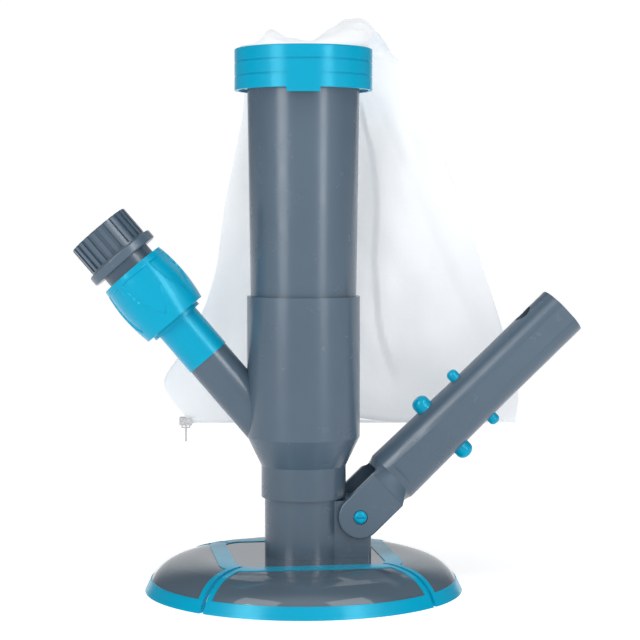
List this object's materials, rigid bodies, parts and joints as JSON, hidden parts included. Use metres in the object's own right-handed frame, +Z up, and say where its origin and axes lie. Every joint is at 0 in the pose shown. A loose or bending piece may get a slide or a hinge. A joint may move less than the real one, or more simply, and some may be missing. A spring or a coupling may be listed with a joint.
{
  "type": "pool cleaner",
  "caption": "Hand-held garden-hose jet pool vacuum: slotted suction head, hinged pole handle, hose quick connector and zipped debris bag.",
  "frame": {"origin": "on the floor under the suction head, on the axis of the head, neck and riser tube", "axes": "+Z up the riser tube; -X towards the hose inlet; +Y to the back, where the bag hangs; the handle leans out 7.5 degrees past +X towards +Y"},
  "size_m": [0.2687, 0.1672, 0.3036],
  "materials": {
    "slate_plastic": "smooth moulded, soft gloss",
    "blue_plastic": "smooth moulded, soft gloss",
    "black_rubber": "matt rubber",
    "white_fabric": "fine woven polyester",
    "zip_nylon": "nylon coil",
    "zip_metal": "plated die-cast metal",
    "spring_steel": "drawn wire and strip",
    "white_nylon": "natural nylon"
  },
  "bodies": {
    "head": {"head_dome": "slate_plastic", "edge_trim": "blue_plastic", "neck_tube": "slate_plastic", "neck_seal": "black_rubber", "hinge_pin": "blue_plastic", "hinge_nut": "blue_plastic"},
    "handle": {"pole_handle": "slate_plastic", "large_clip_spring": "spring_steel", "small_clip_spring": "spring_steel"},
    "large_upper": {"large_button_upper": "blue_plastic"},
    "large_lower": {"large_button_lower": "blue_plastic"},
    "small_upper": {"small_button_upper": "blue_plastic"},
    "small_lower": {"small_button_lower": "blue_plastic"},
    "body": {"jet_body": "slate_plastic", "jet_ring": "slate_plastic", "riser_tube": "slate_plastic", "collar_ring": "blue_plastic", "bag_hem": "white_fabric", "debris_bag": "white_fabric", "zip_tape": "white_fabric", "zip_coil": "zip_nylon", "connector_body": "blue_plastic", "connector_ring": "blue_plastic", "connector_spring": "spring_steel", "connector_claws": "white_nylon", "connector_seal": "black_rubber"},
    "sleeve": {"connector_sleeve": "blue_plastic"},
    "adapter": {"adapter_plug": "slate_plastic", "adapter_cap": "slate_plastic", "adapter_washer": "black_rubber"},
    "slider": {"zip_slider": "zip_metal"},
    "pull": {"zip_pull": "zip_metal"}
  },
  "joints": [
    {"name": "handle_tilt", "type": "hinge", "parent": "head", "child": "handle", "pos_m": [0.02717, 0.00358, 0.0398], "axis": [-0.1305, 0.9914, 0], "range_deg": [-20, 40]},
    {"name": "body_swivel", "type": "hinge", "parent": "head", "child": "body", "pos_m": [0, 0, 0.055], "axis": [0, 0, 1], "range_deg": [0, 90]},
    {"name": "sleeve_pull", "type": "slide", "parent": "body", "child": "sleeve", "axis": [0.6494, 0, -0.7604], "range_m": [0, 0.005], "stiffness_N_per_m": 500, "springref_m": -0.001, "deforming": ["connector_spring"]},
    {"name": "adapter_turn", "type": "hinge", "parent": "body", "child": "adapter", "pos_m": [0, 0, 0.0634], "axis": [-0.6494, 0, 0.7604], "continuous": true},
    {"name": "zip_slide", "type": "slide", "parent": "body", "child": "slider", "axis": [1, 0, 0], "range_m": [0, 0.16]},
    {"name": "pull_swing", "type": "hinge", "parent": "slider", "child": "pull", "pos_m": [-0.065, 0.0485, 0.08075], "axis": [0, 1, 0], "range_deg": [-75, 75]},
    {"name": "large_upper_press", "type": "slide", "parent": "handle", "child": "large_upper", "axis": [0.6812, 0.0897, -0.7266], "range_m": [0, 0.0064], "stiffness_N_per_m": 400, "springref_m": -0.001, "deforming": ["large_clip_spring"]},
    {"name": "large_lower_press", "type": "slide", "parent": "handle", "child": "large_lower", "axis": [-0.6812, -0.0897, 0.7266], "range_m": [0, 0.0064], "stiffness_N_per_m": 400, "springref_m": -0.001, "deforming": ["large_clip_spring"]},
    {"name": "small_upper_press", "type": "slide", "parent": "handle", "child": "small_upper", "axis": [0.6812, 0.0897, -0.7266], "range_m": [0, 0.0048], "stiffness_N_per_m": 300, "springref_m": -0.001, "deforming": ["small_clip_spring"]},
    {"name": "small_lower_press", "type": "slide", "parent": "handle", "child": "small_lower", "axis": [-0.6812, -0.0897, 0.7266], "range_m": [0, 0.0048], "stiffness_N_per_m": 300, "springref_m": -0.001, "deforming": ["small_clip_spring"]}
  ]
}
